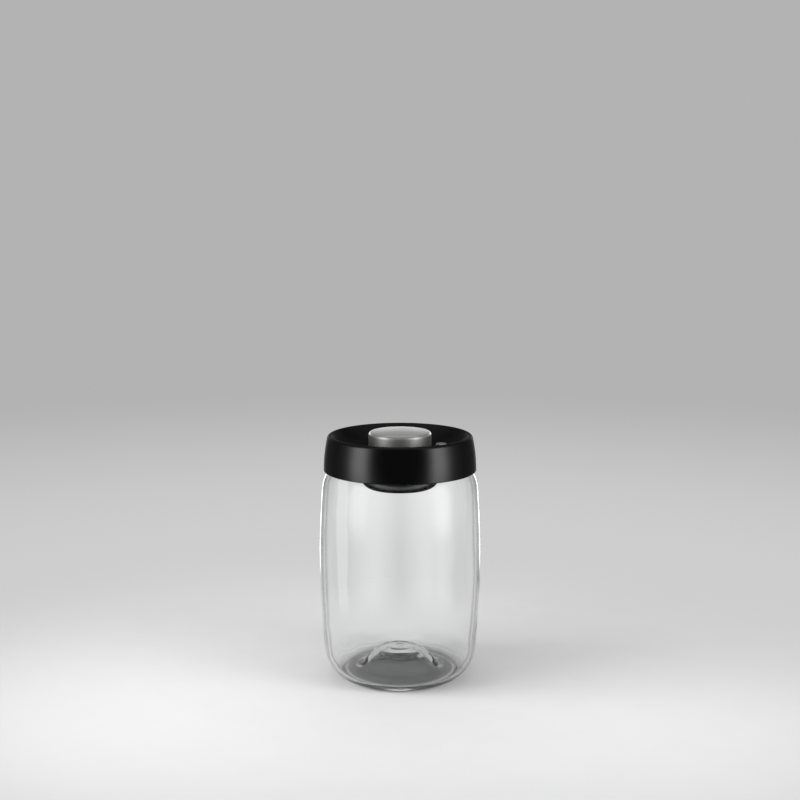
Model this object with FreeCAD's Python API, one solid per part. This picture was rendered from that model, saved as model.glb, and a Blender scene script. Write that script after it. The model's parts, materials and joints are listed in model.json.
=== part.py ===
import FreeCAD, Part
import math
import os

from FreeCAD import Vector

# Glass jar: a barrel with a kicked-up base and a straight neck under the lid
JAR_DIAMETER = 105.0        # widest, at the belly
JAR_HEIGHT = 150.0          # foot to rim
JAR_WALL = 2.4
BELLY_HEIGHT = 78.0
BARREL_ARC = 600.0          # curve of the side, seen in section
FOOT_SET_IN = 16.0          # foot ring's outer edge inside the belly's outline
FOOT_LAND = 2.0             # width of the flat ring that it stands on
FOOT_BEAD = 4.0             # rounding outside that ring
FOOT_CORNER = 21.0          # outside rounding from there to the side
VALLEY_SET_OUT = 0.9        # how far the inside valley lies outside the foot ring
VALLEY_GLASS = 4.0          # glass under the inside valley
PUNT_APEX = 20.5            # top of the dome in the base, inside
PUNT_GLASS = 3.3            # glass at the top of that dome
PUNT_CROWN = 29.0           # curve of the dome's top, inside
NECK_LENGTH = 9.6
SHOULDER_ARC = 27.0
NECK_FILLET = 4.0

# Lid shell: a skirt, a narrow rounded rim and a sunken dish in one moulding
LID_HEIGHT = 23.0           # skirt's edge to the rim's crest
LID_WALL = 1.7
SKIRT_DROP = 13.5           # skirt's edge below the jar's rim
SKIRT_GAP = 2.7             # skirt's inside to the neck
SKIRT_ARC = 100.0
SKIRT_EDGE = 0.5
RIM_ROUND = 2.2
DISH_DEPTH = 9.5
DISH_MARGIN = 0.9           # flat floor outside the thread collar
OPENING_ROUND = 0.5
COLLAR_DEPTH = 4.0          # guide length around the button
COLLAR_WALL = 2.1           # wall of the threaded collar below it
SEAT_RIB = 1.2

# Lid base: the plug that closes the mouth and carries the gasket
PLUG_DEPTH = 13.0           # plug's underside below the jar's rim
PLUG_ROOM = 4.7             # release valve's well to the plug's wall
BASE_PLATE = 2.5
BASE_WALL = 2.0
BASE_FLANGE = 1.8
FLANGE_OVERHANG = 0.2
PLUG_LIP = 0.7              # lip under the gasket, how far it stands out
PLUG_LIP_HEIGHT = 1.4
SEAL_CHAMFER = 2.0          # seat of the cylinder's sealing ring

# Lid gasket
GASKET_ROOM = 2.0           # plug's wall to the glass
GASKET_BODY = 1.0
GASKET_FLANGE = 0.8
GASKET_INSET = 0.4          # gasket's flange inside the neck's outline
FIN_COUNT = 3
FIN_ROOT = 1.6
FIN_TIP = 0.5
FIN_RISE = 1.0

# Pump cylinder
CYLINDER_DEPTH = 15.9       # stop under the collar to the cylinder's floor
CYLINDER_FLOOR = 1.5
CYLINDER_WALL = 1.8
CYLINDER_EDGE = 3.5
CYLINDER_FLANGE = 2.2
CYLINDER_FLANGE_STEP = 2.35
SNAP_BEAD = 0.45
SNAP_BEAD_HEIGHT = 1.4
SNAP_DROP = 0.9             # bead's top below the flange
SPRING_RIB = 1.0
SPRING_RIB_HEIGHT = 1.4
VALVE_HOLE = 1.2
VALVE_HOLE_CIRCLE = 5.0
VALVE_HOLE_COUNT = 6

# Strainer cap and the felt filter under the cylinder
STRAINER_WALL = 1.8
STRAINER_FLOOR = 1.4
STRAINER_ROUND = 7.5
STRAINER_HOLE = 2.0
STRAINER_PITCH = 4.2
STRAINER_RINGS = 3
STRAINER_FIRST_RING = 6     # holes in the innermost ring
FILTER_THICKNESS = 1.2
FILTER_MARGIN = 0.4

# Umbrella valves, one in the cylinder's floor and one in the piston
UMBRELLA_DIAMETER = 7.6
UMBRELLA_EDGE = 0.5
UMBRELLA_CROWN = 1.1
UMBRELLA_STEM = 2.3
UMBRELLA_BULB = 3.4
UMBRELLA_BULB_LENGTH = 1.1
UMBRELLA_TIP = 1.6

# Button: a pressed steel cap over a moulded core
BUTTON_DIAMETER = 40.7
BUTTON_RISE = 2.1           # cap's upper edge above the lid's rim
BUTTON_CROWN = 0.6          # dome of its top above that edge
BUTTON_EDGE = 2.2
CAP_SHEET = 0.6
CORE_WALL = 2.0
CORE_TOP = 1.8
CORE_FLANGE = 1.8
CORE_LEDGE = 1.0
STOP_LIP = 0.7              # core's flange beyond the opening in the lid
EXHAUST_NOTCH = 3.0
EXHAUST_NOTCH_HEIGHT = 1.0

# Piston under the core
PISTON_LIP = 1.6
PISTON_SEAL_HEIGHT = 3.0
PISTON_SEAL_DEPTH = 3.3
PISTON_HAT_GAP = 0.4        # hat that holds the spring to the screw bosses around it
PISTON_HAT_WALL = 1.8
PISTON_HAT_RISE = 10.5      # hat's ceiling above the piston's underside
PISTON_WEB = 1.5
SEAL_LIP_THICKNESS = 0.45
SEAL_HEEL = 1.2

# Screws that join the piston to the core
SCREW_COUNT = 3
SCREW_SET_IN = 2.35         # screw's axis inside the core's wall
SCREW_DIAMETER = 2.0
SCREW_LENGTH = 8.0
SCREW_HEAD = 3.4
SCREW_HEAD_HEIGHT = 1.2
SCREW_SLOT = 0.6
SCREW_SLOT_DEPTH = 0.5
SCREW_BOSS_WALL = 1.05

# Return spring
SPRING_WIRE = 1.2
SPRING_TURNS = 6.5
SPRING_SIDE_GAP = 0.5       # spring to the hat around it

# Release valve beside the button
RELEASE_ANGLE = 20.0        # degrees from +X
RELEASE_STAND_OFF = 3.0     # stem's axis outside the cylinder's flange
RELEASE_DIAMETER = 7.4
RELEASE_RISE = 2.0          # button's top above the dish's floor
RELEASE_CAP_HEIGHT = 2.5
RELEASE_CAP_SHEET = 0.5
RELEASE_CAP_EDGE = 0.7
RELEASE_STEM = 2.4
RELEASE_HEAD_SET_IN = 0.2   # stem's head above the cap's lower edge
RELEASE_SPRING_LENGTH = 2.8
RELEASE_WIRE = 0.35
RELEASE_TURNS = 3.0
RELEASE_SPRING_GAP = 0.9    # spring to the well around it
WELL_WALL = 1.1
WELL_FLOOR = 1.4
VENT_DIAMETER = 3.2
VENT_BOSS_WALL = 1.3
VENT_BOSS_HEIGHT = 7.0
WELL_VENT = 1.0
RELEASE_SEAL_DIAMETER = 5.4
RELEASE_SEAL_THICKNESS = 1.0
RELEASE_FOOT_DIAMETER = 3.6
RELEASE_FOOT_HEIGHT = 0.6

# Clearances
RUN_GAP = 0.3               # between sliding pieces
GUIDE_GAP = 0.15            # stem in its guide
FIT_GAP = 0.1               # between fitted turned faces
SEAT_GAP = 0.05             # between a soft or sprung piece and its seat
LIP_GAP = 0.06              # piston seal to the bore
FIN_GAP = 0.15              # gasket's fins to the glass
STOP_GAP = 0.1              # core to its stop in the lid
OVERRUN = 2.0               # how far a cut runs past a face

ORIGIN = Vector(0, 0, 0)
UP = Vector(0, 0, 1)
FULL_TURN = 360.0

# Radii of the pump
button_r = BUTTON_DIAMETER / 2
opening_r = button_r + RUN_GAP
stop_r = opening_r + STOP_LIP
bore_r = stop_r + RUN_GAP
tube_r = bore_r + CYLINDER_WALL
thread_r = tube_r + FIT_GAP
collar_r = thread_r + COLLAR_WALL
dish_r = collar_r + DISH_MARGIN
flange_r = tube_r + CYLINDER_FLANGE_STEP
core_r = button_r - CAP_SHEET - FIT_GAP
core_in_r = core_r - CORE_WALL
screw_hole = SCREW_DIAMETER + FIT_GAP
screw_boss = screw_hole + 2 * SCREW_BOSS_WALL
screw_circle = 2 * (core_in_r - SCREW_SET_IN)
hat_out_r = (screw_circle - screw_boss) / 2 - PISTON_HAT_GAP
hat_in_r = hat_out_r - PISTON_HAT_WALL
groove_r = stop_r - PISTON_SEAL_DEPTH
stem_hole_r = UMBRELLA_STEM / 2 + FIT_GAP
spring_r = hat_in_r - SPRING_SIDE_GAP - SPRING_WIRE / 2

# Release valve's place
release_r = RELEASE_DIAMETER / 2
well_r = release_r + RUN_GAP
release_reach = flange_r + RELEASE_STAND_OFF
release_x = release_reach * math.cos(math.radians(RELEASE_ANGLE))
release_y = release_reach * math.sin(math.radians(RELEASE_ANGLE))

# Radii of the lid and of the jar's neck, which fits it
plug_in_r = release_reach + well_r + WELL_WALL + PLUG_ROOM
plug_r = plug_in_r + BASE_WALL
mouth_r = plug_r + GASKET_ROOM
neck_r = mouth_r + JAR_WALL
skirt_r = neck_r + SKIRT_GAP + LID_WALL
belly_r = JAR_DIAMETER / 2

# Heights of the jar and lid
rim_z = JAR_HEIGHT
neck_z = rim_z - NECK_LENGTH
skirt_z = rim_z - SKIRT_DROP
crest_z = skirt_z + LID_HEIGHT
dish_z = crest_z - DISH_DEPTH
stop_z = dish_z - COLLAR_DEPTH
plate_low_z = rim_z - PLUG_DEPTH
plate_top_z = plate_low_z + BASE_PLATE
gasket_low_z = plate_low_z + PLUG_LIP_HEIGHT + SEAT_GAP
gasket_rest_z = rim_z + FIT_GAP
flange_low_z = gasket_rest_z + GASKET_FLANGE
flange_top_z = flange_low_z + BASE_FLANGE

# Heights of the pump, from the stop downwards and upwards
core_flange_top_z = stop_z - STOP_GAP
core_low_z = core_flange_top_z - CORE_FLANGE
seal_low_z = core_low_z - PISTON_SEAL_HEIGHT
piston_low_z = seal_low_z - PISTON_LIP
web_low_z = piston_low_z + PISTON_HAT_RISE
web_top_z = web_low_z + PISTON_WEB
floor_top_z = stop_z - CYLINDER_DEPTH
floor_low_z = floor_top_z - CYLINDER_FLOOR
cylinder_flange_z = plate_low_z - CYLINDER_FLANGE
bead_top_z = cylinder_flange_z - SNAP_DROP
bead_low_z = bead_top_z - SNAP_BEAD_HEIGHT
filter_top_z = floor_low_z - SEAT_GAP - UMBRELLA_BULB_LENGTH - SEAT_GAP
filter_low_z = filter_top_z - FILTER_THICKNESS
strainer_floor_z = filter_low_z - SEAT_GAP
strainer_low_z = strainer_floor_z - STRAINER_FLOOR
cap_edge_z = crest_z + BUTTON_RISE - BUTTON_EDGE
core_top_z = cap_edge_z + BUTTON_EDGE - CAP_SHEET - FIT_GAP

# Heights of the release valve
release_top_z = dish_z + RELEASE_RISE
release_cap_z = release_top_z - RELEASE_CAP_HEIGHT
release_head_z = release_cap_z + RELEASE_HEAD_SET_IN
well_floor_z = release_head_z - RELEASE_SPRING_LENGTH
well_low_z = well_floor_z - WELL_FLOOR
release_seal_top_z = plate_low_z - SEAT_GAP
release_seal_low_z = release_seal_top_z - RELEASE_SEAL_THICKNESS
release_low_z = release_seal_low_z - RELEASE_FOOT_HEIGHT
release_inner_edge = max(RELEASE_CAP_EDGE - RELEASE_CAP_SHEET, 0)


def leg(hypotenuse, other):
    """Remaining side of a right triangle."""
    return math.sqrt(hypotenuse ** 2 - other ** 2)


def heading(start, towards):
    """Unit vector from one point towards another."""
    length = math.dist(start, towards)
    return tuple((b - a) / length for a, b in zip(start, towards))


def along(start, towards, distance):
    """Point at a distance from start, on the line towards another point."""
    return tuple(a + step * distance for a, step in zip(start, heading(start, towards)))


def meeting(pick, centre_a, radius_a, centre_b, radius_b):
    """Lower (min) or upper (max) of the two points where two circles cross."""
    gap = math.dist(centre_a, centre_b)
    reach = (gap ** 2 + radius_a ** 2 - radius_b ** 2) / (2 * gap)
    foot = along(centre_a, centre_b, reach)
    aside = leg(radius_a, reach)
    across = ((centre_b[1] - centre_a[1]) / gap, (centre_a[0] - centre_b[0]) / gap)
    points = [(foot[0] + s * aside * across[0], foot[1] + s * aside * across[1]) for s in (-1, 1)]
    return pick(points, key=lambda point: point[1])


class Section:
    """Half-section of a turned piece, drawn from point to point as (radius, height)."""

    def __init__(self, *start):
        self.first = start
        self.last = start
        self.edges = []

    def line(self, *points):
        for point in points:
            ends = [Vector(p[0], 0, p[1]) for p in (self.last, point)]
            self.edges.append(Part.LineSegment(*ends).toShape())
            self.last = point
        return self

    def arc(self, centre, end):
        """Arc of under a half circle about a centre."""
        radius = math.dist(centre, self.last)
        halfway = tuple((a + b) / 2 for a, b in zip(self.last, end))
        middle = along(centre, halfway, radius)
        points = [Vector(p[0], 0, p[1]) for p in (self.last, middle, end)]
        self.edges.append(Part.Arc(*points).toShape())
        self.last = end
        return self

    def turned(self):
        """Closes the section and turns it about the axis."""
        self.line(self.first)
        face = Part.Face(Part.Wire(self.edges))
        return face.revolve(ORIGIN, UP, FULL_TURN)


def turned(*corners):
    """Turned piece with straight sides; a corner's third value is its rounding."""
    section = None
    for i, corner in enumerate(corners):
        here, before, after = corner[:2], corners[i - 1][:2], corners[(i + 1) % len(corners)][:2]
        rounding = corner[2] if len(corner) > 2 else 0
        if section is None:
            section = Section(*here)
        elif rounding:
            sides = [heading(here, other) for other in (before, after)]
            half_angle = math.acos(sum(a * b for a, b in zip(*sides))) / 2
            ends = [along(here, other, rounding / math.tan(half_angle)) for other in (before, after)]
            middle = tuple((a + b) / 2 for a, b in zip(*ends))
            centre = along(here, middle, rounding / math.sin(half_angle))
            section.line(ends[0]).arc(centre, ends[1])
        else:
            section.line(here)
    return section.turned()


def rod(diameter, low, high, x=0, y=0):
    return Part.makeCylinder(diameter / 2, high - low, Vector(x, y, low), UP)


def around(circle, count, start=0):
    """Places evenly spaced on a circle of a given diameter."""
    angles = [math.radians(start + FULL_TURN * i / count) for i in range(count)]
    return [(circle / 2 * math.cos(a), circle / 2 * math.sin(a)) for a in angles]


def dome_in_base(low, high, crown):
    """Centres and meeting point of the two arcs from a ring up to a crown on the axis."""
    rise = high - low[1]
    both = (low[0] ** 2 + rise ** 2) / (2 * rise)
    crown_centre = (0, high - crown)
    ring_centre = (low[0], low[1] + both - crown)
    return crown_centre, ring_centre, along(crown_centre, ring_centre, crown)


def glass_jar():
    barrel = (belly_r - BARREL_ARC, BELLY_HEIGHT)
    inner_arc = BARREL_ARC - JAR_WALL
    foot_out = (belly_r - FOOT_SET_IN, 0)
    foot_in = (foot_out[0] - FOOT_LAND, 0)
    bead = (foot_out[0], FOOT_BEAD)
    corner = meeting(max, barrel, BARREL_ARC - FOOT_CORNER, bead, FOOT_CORNER - FOOT_BEAD)
    inward = math.copysign(1, barrel[0] + leg(BARREL_ARC, neck_z - BELLY_HEIGHT) - neck_r)
    neck = (neck_r + inward * NECK_FILLET, neck_z)
    shoulder_reach = BARREL_ARC - inward * SHOULDER_ARC
    shoulder = meeting(min, barrel, shoulder_reach, neck, SHOULDER_ARC + NECK_FILLET)
    inner_shoulder_arc = SHOULDER_ARC - inward * JAR_WALL
    rim = ((neck_r + mouth_r) / 2, rim_z - JAR_WALL / 2)

    valley = (foot_out[0] + VALLEY_SET_OUT, VALLEY_GLASS)
    inner_corner_arc = FOOT_CORNER - JAR_WALL
    depth = corner[1] - VALLEY_GLASS
    across = valley[0] - corner[0]
    valley_arc = (inner_corner_arc ** 2 - depth ** 2 - across ** 2) / (2 * (inner_corner_arc - depth))
    trough = (valley[0], VALLEY_GLASS + valley_arc)
    crown, ring, bend = dome_in_base(valley, PUNT_APEX, PUNT_CROWN)
    under_apex = PUNT_APEX - PUNT_GLASS
    under_crown, under_ring, under_bend = dome_in_base(foot_in, under_apex, PUNT_CROWN - PUNT_GLASS)

    section = Section(0, under_apex)
    section.arc(under_crown, under_bend).arc(under_ring, foot_in).line(foot_out)
    section.arc(bead, along(corner, bead, FOOT_CORNER))
    section.arc(corner, along(barrel, corner, BARREL_ARC))
    section.arc(barrel, along(barrel, shoulder, BARREL_ARC))
    section.arc(shoulder, along(shoulder, neck, SHOULDER_ARC))
    section.arc(neck, (neck_r, neck_z)).line((neck_r, rim[1]))
    section.arc(rim, (rim[0], rim_z)).arc(rim, (mouth_r, rim[1]))
    section.line((mouth_r, neck_z)).arc(neck, along(shoulder, neck, inner_shoulder_arc))
    section.arc(shoulder, along(barrel, shoulder, inner_arc))
    section.arc(barrel, along(barrel, corner, inner_arc))
    section.arc(corner, along(corner, trough, inner_corner_arc))
    section.arc(trough, valley).arc(ring, bend).arc(crown, (0, PUNT_APEX))
    return section.turned()


def lid_shell():
    skirt = (skirt_r - SKIRT_ARC, skirt_z)
    rim_centre_z = crest_z - RIM_ROUND
    rim = (skirt[0] + leg(SKIRT_ARC - RIM_ROUND, rim_centre_z - skirt_z), rim_centre_z)
    across, down = rim[0] - dish_r, rim_centre_z - dish_z
    dish_arc = (across ** 2 + down ** 2 - RIM_ROUND ** 2) / (2 * (RIM_ROUND + down))
    dish = (dish_r, dish_z + dish_arc)
    edge = (skirt[0] + leg(SKIRT_ARC - SKIRT_EDGE, SKIRT_EDGE), skirt_z + SKIRT_EDGE)
    lip = (opening_r + OPENING_ROUND, dish_z - OPENING_ROUND)

    def upper_face():
        section = Section(edge[0], skirt_z)
        section.arc(edge, along(skirt, edge, SKIRT_ARC))
        section.arc(skirt, along(skirt, rim, SKIRT_ARC))
        section.arc(rim, along(dish, rim, dish_arc))
        return section.arc(dish, (dish_r, dish_z))

    envelope = upper_face().line((0, dish_z), (0, skirt_z)).turned()

    section = upper_face().line((lip[0], dish_z)).arc(lip, (opening_r, lip[1]))
    section.line((opening_r, stop_z), (thread_r, stop_z), (thread_r, plate_top_z))
    section.line((collar_r, plate_top_z), (collar_r, dish_z - LID_WALL), (dish_r, dish_z - LID_WALL))
    section.arc(dish, along(dish, rim, dish_arc + LID_WALL))
    section.arc(rim, along(skirt, rim, SKIRT_ARC - LID_WALL))
    section.arc(skirt, (skirt_r - LID_WALL, skirt_z))
    shell = section.turned()

    rib = turned(
        (plug_r, flange_top_z), (plug_r + SEAT_RIB, flange_top_z),
        (plug_r + SEAT_RIB, crest_z), (plug_r, crest_z),
    )
    well = rod(2 * (well_r + WELL_WALL), well_low_z, crest_z, release_x, release_y)
    shell = shell.fuse([piece.common(envelope) for piece in (rib, well)])
    vent_r = (well_r + RELEASE_STEM / 2) / 2
    vent_x, vent_y = [place * (release_reach + vent_r) / release_reach for place in (release_x, release_y)]
    return shell.cut([
        rod(2 * well_r, well_floor_z, crest_z, release_x, release_y),
        rod(RELEASE_STEM + 2 * GUIDE_GAP, well_low_z - OVERRUN, crest_z, release_x, release_y),
        rod(WELL_VENT, well_low_z - OVERRUN, crest_z, vent_x, vent_y),
    ]).removeSplitter()


def lid_base():
    flange_out = neck_r + FLANGE_OVERHANG
    lip_top_z = plate_low_z + PLUG_LIP_HEIGHT
    base = turned(
        (thread_r, plate_low_z + SEAL_CHAMFER), (thread_r, plate_top_z), (plug_in_r, plate_top_z),
        (plug_in_r, flange_low_z), (plug_r, flange_top_z), (flange_out, flange_top_z),
        (flange_out, flange_low_z), (plug_r, flange_low_z), (plug_r, lip_top_z),
        (plug_r + PLUG_LIP, lip_top_z), (plug_r + PLUG_LIP, plate_low_z),
        (thread_r + SEAL_CHAMFER, plate_low_z),
    )
    boss_top_z = plate_low_z + VENT_BOSS_HEIGHT
    boss = rod(VENT_DIAMETER + 2 * VENT_BOSS_WALL, plate_low_z, boss_top_z, release_x, release_y)
    vent = rod(VENT_DIAMETER, plate_low_z - OVERRUN, boss_top_z + OVERRUN, release_x, release_y)
    return base.fuse(boss).cut(vent)


def lid_gasket():
    inner = plug_r + SEAT_GAP
    body = inner + GASKET_BODY
    tip = mouth_r - FIN_GAP
    pitch = (gasket_rest_z - gasket_low_z) / FIN_COUNT
    section = Section(inner, gasket_low_z).line((body, gasket_low_z))
    for i in range(FIN_COUNT):
        root = gasket_low_z + pitch * i + (pitch - FIN_ROOT - FIN_RISE) / 2
        point = root + FIN_ROOT / 2 + FIN_RISE
        section.line((body, root), (tip, point - FIN_TIP / 2))
        section.line((tip, point + FIN_TIP / 2), (body, root + FIN_ROOT))
    section.line((body, gasket_rest_z), (neck_r - GASKET_INSET, gasket_rest_z))
    section.line((neck_r - GASKET_INSET, flange_low_z), (inner, flange_low_z))
    return section.turned()


def pump_cylinder():
    rib_out = spring_r - SPRING_WIRE / 2 - SPRING_SIDE_GAP
    rib_top = floor_top_z + SPRING_RIB_HEIGHT
    body = turned(
        (stem_hole_r, floor_low_z), (tube_r, floor_low_z, CYLINDER_EDGE), (tube_r, bead_low_z),
        (tube_r + SNAP_BEAD, (bead_low_z + bead_top_z) / 2), (tube_r, bead_top_z),
        (tube_r, cylinder_flange_z), (flange_r, cylinder_flange_z), (flange_r, plate_low_z),
        (tube_r, plate_low_z), (tube_r, stop_z), (bore_r, stop_z), (bore_r, floor_top_z),
        (rib_out, floor_top_z), (rib_out, rib_top), (rib_out - SPRING_RIB, rib_top),
        (rib_out - SPRING_RIB, floor_top_z), (stem_hole_r, floor_top_z),
    )
    holes = [
        rod(VALVE_HOLE, floor_low_z - OVERRUN, floor_top_z + OVERRUN, x, y)
        for x, y in around(VALVE_HOLE_CIRCLE, VALVE_HOLE_COUNT)
    ]
    return body.cut(holes)


def cylinder_seal():
    """Ring in the corner between the tube, the flange and the chamfer in the lid's base."""
    corner = SEAL_CHAMFER + FIT_GAP
    clear = corner / (2 + math.sqrt(2))
    return Part.makeTorus(tube_r + clear, clear - SEAT_GAP, Vector(0, 0, plate_low_z + clear), UP)


def strainer_cap():
    inner = tube_r + FIT_GAP
    outer = inner + STRAINER_WALL
    top = cylinder_flange_z - FIT_GAP
    cup = turned(
        (0, strainer_low_z), (outer, strainer_low_z, STRAINER_ROUND), (outer, top), (inner, top),
        (inner, bead_top_z), (inner + SNAP_BEAD, (bead_low_z + bead_top_z) / 2), (inner, bead_low_z),
        (inner, strainer_floor_z, STRAINER_ROUND - STRAINER_WALL), (0, strainer_floor_z),
    )
    places = [(0, 0)]
    for ring in range(1, STRAINER_RINGS + 1):
        places += around(2 * STRAINER_PITCH * ring, STRAINER_FIRST_RING * ring)
    low, high = strainer_low_z - OVERRUN, strainer_floor_z + OVERRUN
    return cup.cut([rod(STRAINER_HOLE, low, high, x, y) for x, y in places])


def filter_disc():
    radius = tube_r + FIT_GAP + STRAINER_WALL - STRAINER_ROUND - FILTER_MARGIN
    return rod(2 * radius, filter_low_z, filter_top_z)


def umbrella_valve(seat_low_z, seat_top_z):
    """Soft valve whose stem is pulled through a hole and whose skirt covers a ring of holes."""
    stem = UMBRELLA_STEM / 2
    low, top = seat_low_z - SEAT_GAP, seat_top_z + SEAT_GAP
    return turned(
        (0, low - UMBRELLA_BULB_LENGTH), (UMBRELLA_TIP / 2, low - UMBRELLA_BULB_LENGTH),
        (UMBRELLA_BULB / 2, low), (stem, low), (stem, top), (UMBRELLA_DIAMETER / 2, top),
        (UMBRELLA_DIAMETER / 2, top + UMBRELLA_EDGE), (0, top + UMBRELLA_CROWN),
    )


def piston():
    body = turned(
        (stem_hole_r, web_low_z), (hat_in_r, web_low_z), (hat_in_r, piston_low_z), (stop_r, piston_low_z),
        (stop_r, seal_low_z), (groove_r, seal_low_z), (groove_r, core_low_z), (hat_out_r, core_low_z),
        (hat_out_r, web_top_z), (stem_hole_r, web_top_z),
    )
    cuts = [
        rod(VALVE_HOLE, web_low_z - OVERRUN, web_top_z + OVERRUN, x, y)
        for x, y in around(VALVE_HOLE_CIRCLE, VALVE_HOLE_COUNT)
    ]
    head_top_z = piston_low_z + SCREW_HEAD_HEIGHT + SEAT_GAP
    for x, y in around(screw_circle, SCREW_COUNT):
        cuts.append(rod(screw_hole, piston_low_z, core_low_z, x, y))
        cuts.append(rod(SCREW_HEAD + 2 * FIT_GAP, piston_low_z - OVERRUN, head_top_z, x, y))
    return body.cut(cuts)


def piston_seal():
    """Cup ring between the piston's lip and the core, with its lips upwards."""
    inner, tip = groove_r + FIT_GAP, bore_r - LIP_GAP
    low, top = seal_low_z + SEAT_GAP, core_low_z - SEAT_GAP
    heel_out = stop_r - SEAL_LIP_THICKNESS
    cup = low + SEAL_HEEL
    return turned(
        (inner, low), (heel_out, low), (tip, top - SEAL_LIP_THICKNESS), (tip - SEAL_LIP_THICKNESS, top),
        (heel_out - 2 * SEAL_LIP_THICKNESS, cup), (inner + 2 * SEAL_LIP_THICKNESS, cup),
        (inner + SEAL_LIP_THICKNESS, top), (inner, top),
    )


def piston_screws():
    screws = []
    head_low_z = piston_low_z
    for x, y in around(screw_circle, SCREW_COUNT):
        head = rod(SCREW_HEAD, head_low_z, head_low_z + SCREW_HEAD_HEIGHT, x, y)
        shank_top_z = head_low_z + SCREW_HEAD_HEIGHT + SCREW_LENGTH
        shank = rod(SCREW_DIAMETER, head_low_z + SCREW_HEAD_HEIGHT, shank_top_z, x, y)
        screw = head.fuse(shank).removeSplitter()
        for length, width in ((SCREW_HEAD, SCREW_SLOT), (SCREW_SLOT, SCREW_HEAD)):
            corner = Vector(x - length / 2, y - width / 2, head_low_z)
            screw = screw.cut(Part.makeBox(length, width, SCREW_SLOT_DEPTH, corner))
        screws.append(screw)
    return Part.makeCompound(screws)


def button_core():
    ledge_r = core_in_r - CORE_LEDGE
    ceiling_z = core_top_z - CORE_TOP
    core = turned(
        (0, ceiling_z), (0, core_top_z), (core_r, core_top_z, BUTTON_EDGE - CAP_SHEET - FIT_GAP),
        (core_r, core_flange_top_z), (stop_r, core_flange_top_z), (stop_r, core_low_z),
        (ledge_r, core_low_z), (ledge_r, core_flange_top_z),
        (core_in_r, core_flange_top_z + CORE_LEDGE), (core_in_r, ceiling_z),
    )
    bosses = [
        rod(screw_boss, core_low_z, core_top_z - CORE_TOP / 2, x, y)
        for x, y in around(screw_circle, SCREW_COUNT)
    ]
    pilots = [
        rod(screw_hole, core_low_z - OVERRUN, ceiling_z, x, y)
        for x, y in around(screw_circle, SCREW_COUNT)
    ]
    length = stop_r - ledge_r + 2 * OVERRUN
    notch = Part.makeBox(
        length, EXHAUST_NOTCH, OVERRUN + EXHAUST_NOTCH_HEIGHT,
        Vector(ledge_r - OVERRUN, -EXHAUST_NOTCH / 2, core_low_z - OVERRUN),
    )
    notches = []
    for i in range(SCREW_COUNT):
        turn = (i + 1 / 2) * FULL_TURN / SCREW_COUNT
        notches.append(notch.rotated(ORIGIN, UP, turn))
    return core.fuse(bosses).cut(pilots + notches).removeSplitter()


def button_cap():
    edge = (button_r - BUTTON_EDGE, cap_edge_z)
    drop = BUTTON_EDGE + BUTTON_CROWN
    crown_arc = (edge[0] ** 2 + drop ** 2 - BUTTON_EDGE ** 2) / (2 * BUTTON_CROWN)
    crown = (0, cap_edge_z + drop - crown_arc)
    inner_r, low_z = button_r - CAP_SHEET, core_flange_top_z
    section = Section(inner_r, low_z).line((button_r, low_z), (button_r, cap_edge_z))
    section.arc(edge, along(crown, edge, crown_arc)).arc(crown, (0, crown[1] + crown_arc))
    section.line((0, crown[1] + crown_arc - CAP_SHEET))
    section.arc(crown, along(crown, edge, crown_arc - CAP_SHEET)).arc(edge, (inner_r, cap_edge_z))
    return section.turned()


def coil(name, radius, wire, turns, low, high):
    """Open coil spring: one tube along two arcs for each half turn."""
    rise = (high - low - wire) / turns
    slope = math.atan2(rise, 2 * math.pi * radius)

    def station(turn):
        angle = 2 * math.pi * turn
        point = Vector(radius * math.cos(angle), radius * math.sin(angle), low + wire / 2 + rise * turn)
        flat = Vector(-math.sin(angle), math.cos(angle), 0)
        return point, flat * math.cos(slope) + UP * math.sin(slope)

    def arc(start, direction, end):
        chord = end - start
        bend = direction.getAngle(chord)
        corner = start + direction * (chord.Length / 2 / math.cos(bend))
        middle = start + chord / 2
        crest = middle + (corner - middle) * (math.tan(bend / 2) / math.tan(bend))
        return Part.Arc(start, crest, end)

    arcs = []
    for i in range(round(2 * turns)):
        (start, leaving), (end, arriving) = station(i / 2), station((i + 1) / 2)
        chord, both = end - start, leaving + arriving
        spread = 2 * (1 - leaving.dot(arriving))
        reach = (math.sqrt(chord.dot(both) ** 2 + spread * chord.dot(chord)) - chord.dot(both)) / spread
        joint = (start + end + (leaving - arriving) * reach) / 2
        arcs += [arc(start, leaving, joint), arc(end, -arriving, joint)]
    path = Part.Wire([piece.toShape() for piece in arcs])
    start, direction = station(0)
    section = Part.Wire(Part.makeCircle(wire / 2, start, direction))
    tube = path.makePipeShell([section], True, False)

    points = [piece.value(piece.FirstParameter + (piece.LastParameter - piece.FirstParameter) * share)
              for piece in arcs for share in (0, 1 / 4, 1 / 2, 3 / 4)]
    half_loop = len(points) // round(2 * turns)
    apart = min(a.distanceToPoint(b) for i, a in enumerate(points) for b in points[i + half_loop:])
    print(f"{name}: least gap to itself {apart - wire:.2f} mm, volume {tube.Volume:.1f} mm3")
    return tube


def return_spring():
    low, high = floor_top_z + SEAT_GAP, web_low_z - SEAT_GAP
    return coil("return_spring", spring_r, SPRING_WIRE, SPRING_TURNS, low, high)


def release_button():
    inner = release_r - RELEASE_CAP_SHEET
    ceiling_z = release_top_z - RELEASE_CAP_SHEET
    cap = turned(
        (0, ceiling_z), (0, release_top_z), (release_r, release_top_z, RELEASE_CAP_EDGE),
        (release_r, release_cap_z), (inner, release_cap_z), (inner, ceiling_z, release_inner_edge),
    )
    return cap.translated(Vector(release_x, release_y, 0))


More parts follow.
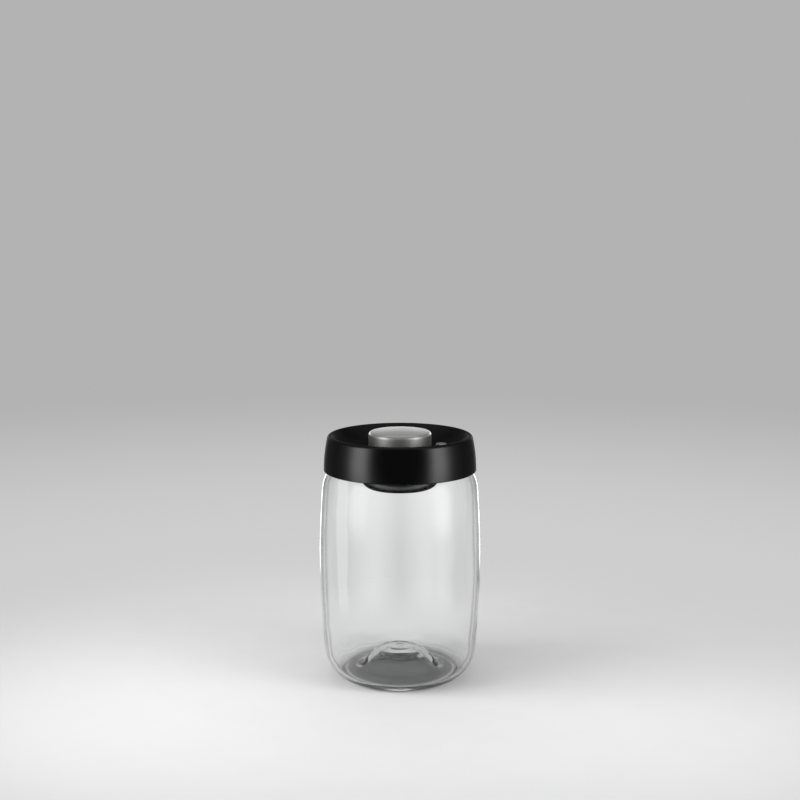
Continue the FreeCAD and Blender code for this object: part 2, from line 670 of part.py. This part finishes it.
def release_stem():
    head_r = release_r - RELEASE_CAP_SHEET - SEAT_GAP
    head_top_z = release_top_z - RELEASE_CAP_SHEET - SEAT_GAP
    stem_r, foot_r = RELEASE_STEM / 2, RELEASE_FOOT_DIAMETER / 2
    stem = turned(
        (0, head_top_z), (0, release_low_z), (foot_r, release_low_z), (foot_r, release_seal_low_z),
        (stem_r, release_seal_low_z), (stem_r, release_head_z), (head_r, release_head_z),
        (head_r, head_top_z, release_inner_edge),
    )
    return stem.translated(Vector(release_x, release_y, 0))


def release_spring():
    radius = well_r - RELEASE_SPRING_GAP - RELEASE_WIRE / 2
    low, high = well_floor_z + SEAT_GAP, release_head_z - SEAT_GAP
    spring = coil("release_spring", radius, RELEASE_WIRE, RELEASE_TURNS, low, high)
    return spring.translated(Vector(release_x, release_y, 0))


def release_seal():
    inner = RELEASE_STEM / 2 + SEAT_GAP
    disc = turned(
        (inner, release_seal_low_z), (RELEASE_SEAL_DIAMETER / 2, release_seal_low_z),
        (RELEASE_SEAL_DIAMETER / 2, release_seal_top_z), (inner, release_seal_top_z),
    )
    return disc.translated(Vector(release_x, release_y, 0))


PIECES = {
    "glass_jar": glass_jar,
    "lid_shell": lid_shell,
    "lid_base": lid_base,
    "lid_gasket": lid_gasket,
    "pump_cylinder": pump_cylinder,
    "cylinder_seal": cylinder_seal,
    "strainer_cap": strainer_cap,
    "filter_disc": filter_disc,
    "intake_valve": lambda: umbrella_valve(floor_low_z, floor_top_z),
    "exhaust_valve": lambda: umbrella_valve(web_low_z, web_top_z),
    "piston": piston,
    "piston_seal": piston_seal,
    "piston_screws": piston_screws,
    "button_core": button_core,
    "button_cap": button_cap,
    "return_spring": return_spring,
    "release_button": release_button,
    "release_stem": release_stem,
    "release_spring": release_spring,
    "release_seal": release_seal,
}

os.makedirs("parts", exist_ok=True)
for name, make in PIECES.items():
    shape = make()
    shape.exportStep(f"parts/{name}.step")
    box = shape.BoundBox
    print(f"{name}: valid {shape.isValid()}, solids {len(shape.Solids)}, {shape.Volume:.1f} mm3, "
          f"z {box.ZMin:.2f} to {box.ZMax:.2f}, x {box.XMin:.2f} to {box.XMax:.2f}")
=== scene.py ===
import json
import math
from collections import namedtuple

import bpy
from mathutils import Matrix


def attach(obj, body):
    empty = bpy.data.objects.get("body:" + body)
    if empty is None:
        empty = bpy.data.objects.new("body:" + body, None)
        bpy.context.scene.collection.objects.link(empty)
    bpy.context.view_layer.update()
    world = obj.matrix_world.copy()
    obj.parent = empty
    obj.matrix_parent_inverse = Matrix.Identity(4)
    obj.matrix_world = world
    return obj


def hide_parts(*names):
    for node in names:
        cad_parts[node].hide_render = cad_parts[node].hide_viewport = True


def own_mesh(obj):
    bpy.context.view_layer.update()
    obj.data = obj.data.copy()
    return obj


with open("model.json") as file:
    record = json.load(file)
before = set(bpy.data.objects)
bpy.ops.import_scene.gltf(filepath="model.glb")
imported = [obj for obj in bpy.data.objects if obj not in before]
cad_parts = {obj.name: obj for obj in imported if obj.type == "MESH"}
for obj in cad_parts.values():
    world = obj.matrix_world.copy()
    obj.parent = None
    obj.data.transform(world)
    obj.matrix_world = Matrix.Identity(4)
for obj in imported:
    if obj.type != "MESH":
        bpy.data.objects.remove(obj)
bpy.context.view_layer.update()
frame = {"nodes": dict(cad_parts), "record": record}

MM = 0.001
UP = (0, 0, 1)

# Sizes of the jar, in millimetres, as in the part's source
BELLY = 52.5
BELLY_HEIGHT = 78.0
BARREL_ARC = 600.0
JAR_WALL = 2.4
JAR_RIM = 150.0
FOOT_SET_IN = 16.0
FOOT_LAND = 2.0
FOOT_BEAD = 4.0
FOOT_CORNER = 21.0
VALLEY_SET_OUT = 0.9
VALLEY_GLASS = 4.0
PUNT_APEX = 20.5
PUNT_GLASS = 3.3
PUNT_CROWN = 29.0
NECK = 45.0
NECK_FOOT = 140.4
NECK_FILLET = 4.0
SHOULDER_ARC = 27.0

# What blowing leaves in the glass, in millimetres: rings on the dome, a ripple in the base and
# long waves in the wall. Each range goes from where the effect is nil to where it is full.
RING_DEPTH = 0.1
RING_PITCH = 5.5
RIPPLE_SIZE = 13.0
RIPPLE_DEPTH = 0.3
RIPPLE_HEIGHTS = (1.0, 4.0)
RIPPLE_RADII = (38.0, 28.0)
RIPPLE_TOP = PUNT_APEX + 1.0
WAVE_SIZE = 30.0
WAVE_DEPTH = 0.16
WAVE_FOOT = (18.0, 40.0)
WAVE_HEAD = (134.0, 112.0)

# Springs, in millimetres: the radius is to the middle of the wire
Spring = namedtuple("Spring", "foot top radius wire turns axis")
RETURN_SPRING = Spring(130.15, 149.95, 9.9, 1.2, 6.5, axis=(0.0, 0.0))
RELEASE_SPRING = Spring(146.95, 149.65, 2.925, 0.35, 3.0, axis=(27.0632, 9.8502))

# How finely the new pieces are drawn: steps in millimetres or per turn, bends in degrees
DOME_PITCH = 0.9
BARREL_PITCH = 2.4
RIM_BEND = 12.0
JAR_STEPS = 192
JAR_SHARP = 60
WIRE_SIDES = 14
COIL_STEPS = 40
COIL_SHARP = 50

# Studio, in metres: brightness of its air and backdrop, floor, and camera as fitted to the photo
AIR = 0.45
FLOOR_RADIUS = 9.0
CAMERA_PLACE = (0, -0.950, 0.3305)
CAMERA_TILT = 81.12
FOCAL_PIXELS = 1494
PHOTO_PIXELS = 800
SENSOR = 36.0

# Rays that a lamp can be for
LIT = ("diffuse",)
MIRRORED = ("glossy",)
THROUGH = ("transmission",)

# Soft boxes: azimuth, distance, lower and upper edge, width, brightness, rays, the shares of the
# width and height that fade at each edge, and the height that a tilted one looks at. The boxes
# and edges draw the bands on lid and glass; the glows and strips show through the glass alone.
SOFTBOXES = {
    "left_softbox": (-61, 0.5, 0.0, 0.44, 0.42, 8.4, LIT + MIRRORED, (0.42, 0.12)),
    "right_softbox": (58, 0.5, 0.0, 0.44, 0.42, 8.2, LIT + MIRRORED, (0.42, 0.12)),
    "left_edge": (-151, 0.24, 0.0, 0.24, 0.045, 2.6, MIRRORED, (0.2, 0.1)),
    "right_edge": (151, 0.24, 0.0, 0.24, 0.045, 2.6, MIRRORED, (0.2, 0.1)),
    "left_key": (-85, 1.0, 0.3, 0.8, 0.5, 13.0, LIT, (0.3, 0.3), 0.1),
    "back_softbox": (180, 1.6, 0.1, 0.4, 2.4, 1.9, LIT + MIRRORED, (0.3, 0.3)),
    "top_softbox": (180, 1.0, 1.3, 2.1, 2.0, 1.2, LIT + MIRRORED + THROUGH, (0.3, 0.3), 0.0),
    "back_glow": (180, 0.1, 0.05, 0.16, 0.12, 0.1, THROUGH, (0.05, 0.5)),
    "left_glow": (-168, 0.1, 0.0, 0.13, 0.05, 0.13, THROUGH, (0.5, 0.25)),
    "right_glow": (168, 0.1, 0.0, 0.13, 0.05, 0.13, THROUGH, (0.5, 0.25)),
    "left_strip": (-155.1, 0.11, 0.0, 0.14, 0.013, 0.11, THROUGH, (0.15, 0.2)),
    "right_strip": (160, 0.106, 0.0, 0.14, 0.022, 0.07, THROUGH, (0.4, 0.2)),
}


class Flow:
    """The value of one socket; arithmetic on flows adds their Math nodes."""

    def __init__(self, nodes, socket):
        self.nodes = nodes
        self.socket = socket

    def joined(self, operation, first, second):
        return self.nodes.add("ShaderNodeMath", {0: first, 1: second}, operation=operation)

    def __add__(self, other):
        return self.joined("ADD", self, other)

    def __radd__(self, other):
        return self.joined("ADD", other, self)

    def __sub__(self, other):
        return self.joined("SUBTRACT", self, other)

    def __rsub__(self, other):
        return self.joined("SUBTRACT", other, self)

    def __mul__(self, other):
        return self.joined("MULTIPLY", self, other)

    def __abs__(self):
        return self.joined("ABSOLUTE", self, 0)


class Nodes:
    """The node tree of one finish, or of a lamp."""

    def __init__(self, tree):
        self.tree = tree

    def add(self, kind, inputs=None, output=0, **settings):
        """Adds a node and gives one of its outputs."""
        made = self.tree.nodes.new(kind)
        for name, value in settings.items():
            setattr(made, name, value)
        for key, value in (inputs or {}).items():
            self.feed(made.inputs[key], value)
        return Flow(self, made.outputs[output])

    def feed(self, socket, value):
        if isinstance(value, Flow):
            self.tree.links.new(value.socket, socket)
        else:
            socket.default_value = value

    def ease(self, value, low, high):
        """Smooth step from 0 at low to 1 at high."""
        inputs = {"Value": value, "From Min": low, "From Max": high}
        return self.add("ShaderNodeMapRange", inputs, interpolation_type="SMOOTHSTEP")

    def along(self, vector, axis):
        return self.add("ShaderNodeSeparateXYZ", {"Vector": vector}, axis)

    def length(self, vector):
        return self.add("ShaderNodeVectorMath", {0: vector}, "Value", operation="LENGTH")


class Finish(Nodes):
    """A material around one Principled shader; fixed values go straight on its sockets."""

    def __init__(self, name, **fixed):
        self.material = bpy.data.materials.new(name)
        self.material.use_nodes = True
        super().__init__(self.material.node_tree)
        self.shader = self.tree.nodes["Principled BSDF"]
        self.place = self.add("ShaderNodeTexCoord", output="Object")
        self.set(**fixed)

    def set(self, **sockets):
        for socket, value in sockets.items():
            self.feed(self.shader.inputs[socket.replace("_", " ")], value)

    def height(self):
        return self.along(self.place, "Z")

    def radius(self):
        """Distance from the upright axis."""
        flat = {0: self.place, 1: (1, 1, 0)}
        return self.length(self.add("ShaderNodeVectorMath", flat, operation="MULTIPLY"))

    def rise(self):
        """How far a face looks up: 1 on top, 0 on upright sides."""
        return self.along(self.add("ShaderNodeTexCoord", output="Normal"), "Z")

    def slant(self):
        """0 where a face is seen square on, 1 at its outline, for gloss and glass."""
        return self.add("ShaderNodeLayerWeight", {"Blend": 0.5}, "Facing")

    def noise(self, scale, detail=2.0, roughness=0.5, at=None):
        at = at or self.place
        inputs = {"Vector": at, "Scale": scale, "Detail": detail, "Roughness": roughness}
        return self.add("ShaderNodeTexNoise", inputs, "Fac")

    def stretched(self, x, y, z):
        return self.add("ShaderNodeMapping", {"Vector": self.place, "Scale": (x, y, z)})

    def mix(self, share, first, second):
        return self.add("ShaderNodeMix", {0: share, 6: first, 7: second}, 2, data_type="RGBA")

    def blend(self, share, first, second):
        return self.mix(share, (*first, 1), (*second, 1))

    def relief(self, height, depth, strength):
        """Bump of a depth in millimetres."""
        inputs = {"Strength": strength, "Distance": depth * MM, "Height": height}
        return self.add("ShaderNodeBump", inputs)


def grey(level):
    return (level, level, level)


def clear_glass():
    """Blown glass, clean and clear, with painted shade darkening its base in rings and lining its
    outlines.
    """
    glass = Finish("clear_glass", Transmission_Weight=1.0, IOR=1.5, Specular_Tint=(*grey(0.25), 1))
    drawn = glass.noise(60, at=glass.stretched(1, 1, 0.25))
    haze = glass.noise(900, detail=3)
    slant = glass.slant()
    # Painted shade: a dark line just inside the outlines, where the glass is seen at a slant.
    outline = glass.ease(slant, 0.66, 0.76) * (1 - glass.ease(slant, 0.78, 0.86))
    # Painted shade: the glass is darker from the floor up to the punt's apex, in broken rings.
    painted_base_shade = 1 - glass.ease(glass.height(), 2 * MM, PUNT_APEX * MM)
    # Rings about the axis, a little irregular
    rings = glass.add("ShaderNodeCombineXYZ", {"X": glass.radius() * 260 + drawn * 1.5})
    painted_ring_shade = glass.ease(glass.noise(1.0, roughness=0.6, at=rings), 0.35, 0.65)
    tone = glass.blend(painted_base_shade * painted_ring_shade, (0.985, 0.99, 0.988), (0.76, 0.765, 0.763))
    glass.set(
        Base_Color=glass.mix(outline * 0.7, tone, (*grey(0.1), 1)),
        Roughness=haze * 0.02,
        Normal=glass.relief(drawn, depth=0.12, strength=0.35),
    )
    return glass.material


def moulded(name, dark, light, roughness, grain, depth, **fixed):
    """Moulded plastic: an even tone, a spark-eroded grain and faint flow marks."""
    plastic = Finish(name, IOR=1.5, **fixed)
    fine = plastic.noise(grain, roughness=0.6)
    broad = plastic.noise(45, detail=3)
    plastic.set(
        Base_Color=plastic.blend(broad, dark, light),
        Roughness=roughness + fine * 0.08 + broad * 0.05,
        Normal=plastic.relief(fine, depth, strength=0.4),
    )
    return plastic


def grey_plastic():
    tones = (0.17, 0.17, 0.178), (0.22, 0.22, 0.228)
    return moulded("inner_plastic", *tones, roughness=0.48, grain=1800, depth=0.03).material


def satin_black(name, gloss, roughness, reach, coat_ior, upright=False):
    """Deep black plastic: dull face on, with a satin gloss at a slant or on upright sides only."""
    tones = (0.0012, 0.0012, 0.0013), (0.0024, 0.0024, 0.0025)
    black = moulded(
        name, *tones, roughness=0.5, grain=2400, depth=0.02,
        Specular_IOR_Level=0.01, Coat_Roughness=roughness, Coat_IOR=coat_ior,
    )
    slant = black.slant()
    sheen = black.ease(slant, 0.02, reach) * (1 - black.ease(slant, reach, 0.5) * 0.85) * gloss
    if upright:
        sheen = sheen * (1 - black.ease(abs(black.rise()), 0.25, 0.75))
    black.set(Coat_Weight=sheen)
    return black.material


def brushed_steel():
    """Stainless sheet, brushed in rings about the button's axis, smoother on top and painted
    lighter there.
    """
    steel = Finish("brushed_steel", Metallic=1.0, Anisotropic=0.3, Anisotropic_Rotation=0.25)
    # Fine rings on top and level lines round the sides
    rings = {"X": steel.radius() * 3500, "Y": steel.height() * 3500}
    lines = steel.add("ShaderNodeCombineXYZ", rings)
    scratch = steel.noise(1.0, detail=4, roughness=0.7, at=lines)
    cloud = steel.noise(120)
    # Painted light: the top is painted lighter than the sides, besides being smoother.
    top = steel.ease(steel.rise(), 0.1, 0.7)
    scratches_and_painted_top_light = scratch * 0.6 + top * 0.4
    steel.set(
        Base_Color=steel.blend(scratches_and_painted_top_light, (0.22, 0.22, 0.217), (0.46, 0.46, 0.455)),
        Roughness=0.44 - top * 0.22 + scratch * 0.1 + cloud * 0.04,
        Normal=steel.relief(scratch, depth=0.02, strength=0.2),
    )
    return steel.material


def soft_silicone():
    """Milky rubber with a dusty surface."""
    silicone = Finish("soft_silicone", Subsurface_Weight=0.3, Subsurface_Scale=0.002, IOR=1.42)
    dust = silicone.noise(1400, detail=3)
    cloud = silicone.noise(90)
    silicone.set(
        Base_Color=silicone.blend(cloud, (0.68, 0.69, 0.68), (0.78, 0.79, 0.78)),
        Roughness=0.42 + dust * 0.2,
        Normal=silicone.relief(dust, depth=0.03, strength=0.3),
    )
    return silicone.material


def drawn_wire(name, dark, light, roughness):
    """Wire and fasteners: drawn or turned metal with a fine irregular sheen."""
    wire = Finish(name, Metallic=1.0)
    streak = wire.noise(1500, detail=3, roughness=0.65)
    stain = wire.noise(220, detail=3)
    wire.set(
        Base_Color=wire.blend(stain, dark, light),
        Roughness=roughness + streak * 0.15,
        Normal=wire.relief(streak, depth=0.02, strength=0.25),
    )
    return wire.material


def pressed_felt():
    """Off-white felt with loose fibres."""
    felt = Finish("pressed_felt", Roughness=0.95, Sheen_Weight=0.4, Sheen_Roughness=0.5)
    fibre = felt.noise(2200, detail=5, roughness=0.75)
    mottle = felt.noise(260, detail=3)
    felt.set(
        Base_Color=felt.blend(mottle, (0.72, 0.7, 0.65), (0.86, 0.85, 0.81)),
        Normal=felt.relief(fibre, depth=0.25, strength=0.8),
    )
    return felt.material


FINISHES = {
    "clear_glass": clear_glass(),
    "lid_black": satin_black("satin_black", gloss=0.44, roughness=0.3, reach=0.13, coat_ior=1.5),
    "pump_black": satin_black(
        "pump_plastic", gloss=1.0, roughness=0.25, reach=0.3, coat_ior=2.4, upright=True,
    ),
    "inner_plastic": grey_plastic(),
    "button_steel": brushed_steel(),
    "silicone": soft_silicone(),
    "spring_steel": drawn_wire("spring_wire", (0.48, 0.48, 0.49), (0.62, 0.62, 0.63), 0.18),
    "screw_steel": drawn_wire("screw_zinc", (0.45, 0.45, 0.47), (0.58, 0.58, 0.6), 0.3),
    "felt": pressed_felt(),
}
for subpart in frame["record"]["subparts"]:
    node = frame["nodes"][subpart["node"]]
    node.data.materials.clear()
    node.data.materials.append(FINISHES[subpart["material_slot"]])


def toward(start, target, distance):
    """Point at a distance from start, on the line to a target."""
    length = math.dist(start, target)
    return tuple(a + (b - a) * distance / length for a, b in zip(start, target))


def meeting(pick, centre_a, radius_a, centre_b, radius_b):
    """Lower (min) or upper (max) of the two points where two circles cross."""
    gap = math.dist(centre_a, centre_b)
    reach = (gap ** 2 + radius_a ** 2 - radius_b ** 2) / (2 * gap)
    foot = toward(centre_a, centre_b, reach)
    aside = math.sqrt(radius_a ** 2 - reach ** 2) / gap
    across = (aside * (centre_b[1] - centre_a[1]), aside * (centre_a[0] - centre_b[0]))
    points = [(foot[0] + side * across[0], foot[1] + side * across[1]) for side in (-1, 1)]
    return pick(points, key=lambda point: point[1])


class Outline:
    """Half-section of a turned piece: points of (radius, height) in millimetres."""

    def __init__(self, *start):
        self.points = [start]

    def line(self, *ends):
        self.points += ends
        return self

    def arc(self, centre, end, pitch=1.6, bend=6.0):
        """Short arc to an end, in steps within a pitch and a bend, or two bends if it is tiny."""
        start = self.points[-1]
        radius = math.dist(centre, start)
        first = math.atan2(start[1] - centre[1], start[0] - centre[0])
        last = math.atan2(end[1] - centre[1], end[0] - centre[0])
        turn = math.remainder(last - first, 2 * math.pi)
        length = abs(turn) * radius
        bends = math.degrees(abs(turn)) / bend
        if length < pitch:
            steps = max(2, math.ceil(bends / 2))
        else:
            steps = max(2, math.ceil(length / pitch), math.ceil(bends))
        for i in range(1, steps):
            angle = first + turn * i / steps
            x, y = radius * math.cos(angle), radius * math.sin(angle)
            self.points.append((centre[0] + x, centre[1] + y))
        self.points.append(end)
        return self


def dome(low, high, crown):
    """Centres and meeting point of the two arcs from a ring up to a crown on the axis."""
    rise = high - low[1]
    both = (low[0] ** 2 + rise ** 2) / (2 * rise)
    crown_centre = (0, high - crown)
    ring_centre = (low[0], low[1] + both - crown)
    return crown_centre, ring_centre, toward(crown_centre, ring_centre, crown)


def jar_outline():
    """Section of the glass: under the dome, up the outside, over the rim and down the inside."""
    barrel = (BELLY - BARREL_ARC, BELLY_HEIGHT)
    inner = BARREL_ARC - JAR_WALL
    foot_out = (BELLY - FOOT_SET_IN, 0)
    foot_in = (foot_out[0] - FOOT_LAND, 0)
    bead = (foot_out[0], FOOT_BEAD)
    corner = meeting(max, barrel, BARREL_ARC - FOOT_CORNER, bead, FOOT_CORNER - FOOT_BEAD)
    mouth = NECK - JAR_WALL
    rim = ((NECK + mouth) / 2, JAR_RIM - JAR_WALL / 2)
    neck = (NECK + NECK_FILLET, NECK_FOOT)
    neck_middle = (NECK_FOOT + rim[1]) / 2
    shoulder = meeting(min, barrel, BARREL_ARC - SHOULDER_ARC, neck, SHOULDER_ARC + NECK_FILLET)
    valley = (foot_out[0] + VALLEY_SET_OUT, VALLEY_GLASS)
    corner_arc = FOOT_CORNER - JAR_WALL
    depth, across = corner[1] - VALLEY_GLASS, valley[0] - corner[0]
    valley_arc = (corner_arc ** 2 - depth ** 2 - across ** 2) / (2 * (corner_arc - depth))
    trough = (valley[0], VALLEY_GLASS + valley_arc)
    crown, ring, bend = dome(valley, PUNT_APEX, PUNT_CROWN)
    under = PUNT_APEX - PUNT_GLASS
    under_crown, under_ring, under_bend = dome(foot_in, under, PUNT_CROWN - PUNT_GLASS)

    outline = Outline(0, under)
    outline.arc(under_crown, under_bend, DOME_PITCH).arc(under_ring, foot_in, DOME_PITCH)
    outline.line(foot_out).arc(bead, toward(corner, bead, FOOT_CORNER))
    outline.arc(corner, toward(barrel, corner, BARREL_ARC))
    outline.arc(barrel, toward(barrel, shoulder, BARREL_ARC), BARREL_PITCH)
    outline.arc(shoulder, toward(shoulder, neck, SHOULDER_ARC))
    outline.arc(neck, (NECK, NECK_FOOT)).line((NECK, neck_middle), (NECK, rim[1]))
    outline.arc(rim, (rim[0], JAR_RIM), bend=RIM_BEND).arc(rim, (mouth, rim[1]), bend=RIM_BEND)
    outline.line((mouth, neck_middle), (mouth, NECK_FOOT))
    outline.arc(neck, toward(shoulder, neck, SHOULDER_ARC - JAR_WALL))
    outline.arc(shoulder, toward(barrel, shoulder, inner))
    outline.arc(barrel, toward(barrel, corner, inner), BARREL_PITCH)
    outline.arc(corner, toward(corner, trough, corner_arc)).arc(trough, valley)
    dome_starts = len(outline.points)
    outline.arc(ring, bend, DOME_PITCH).arc(crown, (0, PUNT_APEX), DOME_PITCH)
    for i in range(dome_starts, len(outline.points)):
        radius, height = outline.points[i]
        fade = min(1.0, (valley[0] - radius) / RING_PITCH)
        ringed = 1 - math.cos(2 * math.pi * radius / RING_PITCH)
        outline.points[i] = (radius, height - RING_DEPTH * fade * ringed)
    return outline


def turned(name, outline, steps, sharp):
    """Draws an outline point by point and spins it about the upright axis."""
    bpy.ops.mesh.primitive_plane_add(size=MM, location=(0, 0, 0))
    piece = bpy.context.object
    piece.name = piece.data.name = name
    bpy.ops.object.mode_set(mode="EDIT")
    bpy.ops.mesh.select_all(action="SELECT")
    bpy.ops.mesh.merge(type="CENTER")
    here = (0, 0)
    for i, point in enumerate(outline.points):
        step = ((point[0] - here[0]) * MM, 0, (point[1] - here[1]) * MM)
        if i == 0:
            bpy.ops.transform.translate(value=step)
        else:
            bpy.ops.mesh.extrude_region_move(TRANSFORM_OT_translate={"value": step})
        here = point
    bpy.ops.mesh.select_all(action="SELECT")
    bpy.ops.mesh.spin(steps=steps, angle=2 * math.pi, center=(0, 0, 0), axis=UP)
    bpy.ops.mesh.select_all(action="SELECT")
    bpy.ops.mesh.remove_doubles(threshold=0.001 * MM)
    bpy.ops.mesh.normals_make_consistent(inside=False)
    bpy.ops.object.mode_set(mode="OBJECT")
    bpy.ops.object.shade_smooth_by_angle(angle=math.radians(sharp))
    return piece


def apply_modifier(piece, kind, **settings):
    bpy.context.view_layer.objects.active = piece
    modifier = piece.modifiers.new(kind.lower(), kind)
    for name, value in settings.items():
        setattr(modifier, name, value)
    bpy.ops.object.modifier_apply(modifier=modifier.name)


def finished(piece, body, slot, *nodes):
    """Gives a new piece its finish, its body and the nodes that it stands for."""
    piece.data.materials.clear()
    piece.data.materials.append(FINISHES[slot])
    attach(piece, body)
    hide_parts(*nodes)


def eased(value, low, high):
    """Smooth step from 0 at low to 1 at high."""
    share = min(1.0, max(0.0, (value - low) / (high - low)))
    return share * share * (3 - 2 * share)


def uneven(piece, group, name, size, depth, **settings):
    """Moves the points of a group in and out in soft clouds of a size."""
    clouds = bpy.data.textures.new(name, "CLOUDS")
    clouds.noise_scale = size * MM
    settings.update(texture=clouds, strength=depth * MM, vertex_group=group)
    apply_modifier(piece, "DISPLACE", **settings)


def blown_jar():
    """The jar: its base ripples, and its wall waves inwards only, so it keeps to the outline."""
    jar = turned("blown_jar", jar_outline(), JAR_STEPS, JAR_SHARP)
    base = jar.vertex_groups.new(name="base")
    wall = jar.vertex_groups.new(name="wall")
    for vertex in jar.data.vertices:
        radius = math.hypot(vertex.co.x, vertex.co.y) / MM
        height = vertex.co.z / MM
        rippled = eased(height, *RIPPLE_HEIGHTS) * eased(radius, *RIPPLE_RADII)
        base.add([vertex.index], rippled * (height < RIPPLE_TOP), "REPLACE")
        waved = eased(height, *WAVE_FOOT) * eased(height, *WAVE_HEAD)
        wall.add([vertex.index], waved, "REPLACE")
    uneven(jar, "base", "base_ripple", RIPPLE_SIZE, RIPPLE_DEPTH)
    uneven(jar, "wall", "wall_wave", WAVE_SIZE, WAVE_DEPTH, mid_level=1.0)
    finished(jar, "jar", "clear_glass", "glass_jar")


def coil(name, spring):
    """Coil spring: a round wire section swept up in a screw, with its ends closed."""
    bpy.ops.mesh.primitive_circle_add(
        vertices=WIRE_SIDES, radius=spring.wire / 2 * MM, rotation=(math.pi / 2, 0, 0),
        location=(spring.radius * MM, 0, (spring.foot + spring.wire / 2) * MM),
    )
    piece = bpy.context.object
    piece.name = piece.data.name = name
    bpy.ops.object.transform_apply(location=True, rotation=True, scale=True)
    steps = round(COIL_STEPS * spring.turns)
    climb = (spring.top - spring.foot - spring.wire) * MM
    apply_modifier(
        piece, "SCREW", axis="Z", angle=2 * math.pi * spring.turns, screw_offset=climb,
        iterations=1, steps=steps, render_steps=steps, use_normal_calculate=True,
    )
    bpy.ops.object.mode_set(mode="EDIT")
    bpy.ops.mesh.select_mode(type="EDGE")
    bpy.ops.mesh.select_all(action="DESELECT")
    bpy.ops.mesh.select_non_manifold()
    bpy.ops.mesh.fill()
    bpy.ops.mesh.select_all(action="SELECT")
    bpy.ops.mesh.normals_make_consistent(inside=False)
    bpy.ops.transform.translate(value=(spring.axis[0] * MM, spring.axis[1] * MM, 0))
    bpy.ops.object.mode_set(mode="OBJECT")
    bpy.ops.object.shade_smooth_by_angle(angle=math.radians(COIL_SHARP))
    return piece


def squashing_coil(name, spring, node):
    """Coil in place of a spring's node, which shortens as its joint travels."""
    piece = coil(name, spring)
    finished(piece, "lid", "spring_steel", node)
    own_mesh(piece)


def studio_floor():
    """Pale paper: lit near the jar, where its shadow falls; farther out it glows with painted
    light.
    """
    bpy.ops.mesh.primitive_circle_add(vertices=96, radius=FLOOR_RADIUS, fill_type="NGON")
    floor = bpy.context.object
    floor.name = floor.data.name = "studio_floor"
    paper = Finish("floor_paper", Roughness=0.9, Specular_IOR_Level=0.0, Emission_Strength=1.0)
    grain = paper.noise(40, detail=3)
    away = paper.length(paper.place)
    rays = ("Camera", "Glossy", "Transmission")
    seen = sum(paper.add("ShaderNodeLightPath", output=f"Is {ray} Ray") for ray in rays)
    clear = paper.ease(away, 0.03, 0.22) * 0.3 + paper.ease(away, 0.14, 0.38) * 0.7
    share = seen * clear
    lit = paper.blend(grain, grey(0.68), grey(0.72))
    # Painted light: the paper's glow is a pool, brightest near the jar and fading to the air's
    # grey.
    painted_light_pool = paper.blend(paper.ease(away, 0.3, 1.3), grey(0.62), grey(AIR))
    paper.set(
        Base_Color=paper.mix(share, lit, (0, 0, 0, 1)),
        Emission_Color=paper.mix(share, (0, 0, 0, 1), painted_light_pool),
    )
    floor.data.materials.append(paper.material)


def studio_air():
    """Even grey all round, which the floor runs into without an edge."""
    world = bpy.data.worlds.new("studio_air")
    bpy.context.scene.world = world
    world.use_nodes = True
    air = world.node_tree.nodes["Background"]
    air.inputs["Color"].default_value = (*grey(AIR), 1)
    air.inputs["Strength"].default_value = 1.0


def softbox(name, azimuth, distance, low, high, wide, brightness, rays, fade, aim=None):
    """Area lamp with fading edges, for some rays only; azimuth is from the viewer's side, to the
    right, and a lamp with no aim looks level."""
    turn = math.radians(azimuth)
    height = (low + high) / 2
    place = (distance * math.sin(turn), -distance * math.cos(turn), height)
    drop = 0 if aim is None else height - aim
    bpy.ops.object.light_add(type="AREA", location=place)
    lamp = bpy.context.object
    lamp.name = lamp.data.name = name
    lamp.rotation_euler = (math.atan2(distance, drop), 0, turn)
    lamp.data.shape = "RECTANGLE"
    lamp.data.size = wide
    lamp.data.size_y = high - low
    lamp.data.energy = brightness * math.pi * wide * (high - low)
    lamp.visible_camera = False
    for ray in LIT + MIRRORED + THROUGH:
        setattr(lamp, f"visible_{ray}", ray in rays)
    lamp.data.use_nodes = True
    cloth = Nodes(lamp.data.node_tree)
    across = cloth.add("ShaderNodeNewGeometry", output="Parametric")
    edge = 1
    for side, soft in zip("XY", fade):
        off = abs(cloth.along(across, side) - 0.5)
        edge = (1 - cloth.ease(off, 0.5 - soft, 0.5)) * edge
    cloth.feed(cloth.tree.nodes["Emission"].inputs["Strength"], edge)


def photo_camera():
    """Camera where the photo was taken from."""
    bpy.ops.object.camera_add(location=CAMERA_PLACE, rotation=(math.radians(CAMERA_TILT), 0, 0))
    camera = bpy.context.object
    camera.name = camera.data.name = "camera"
    camera.data.sensor_width = SENSOR
    camera.data.lens = SENSOR * FOCAL_PIXELS / PHOTO_PIXELS
    camera.data.clip_start = 0.01
    bpy.context.scene.camera = camera


blown_jar()
squashing_coil("return_coil", RETURN_SPRING, "return_spring")
squashing_coil("release_coil", RELEASE_SPRING, "release_spring")

bpy.context.scene.view_settings.view_transform = "Standard"
studio_floor()
studio_air()
for name, settings in SOFTBOXES.items():
    softbox(name, *settings)
photo_camera()
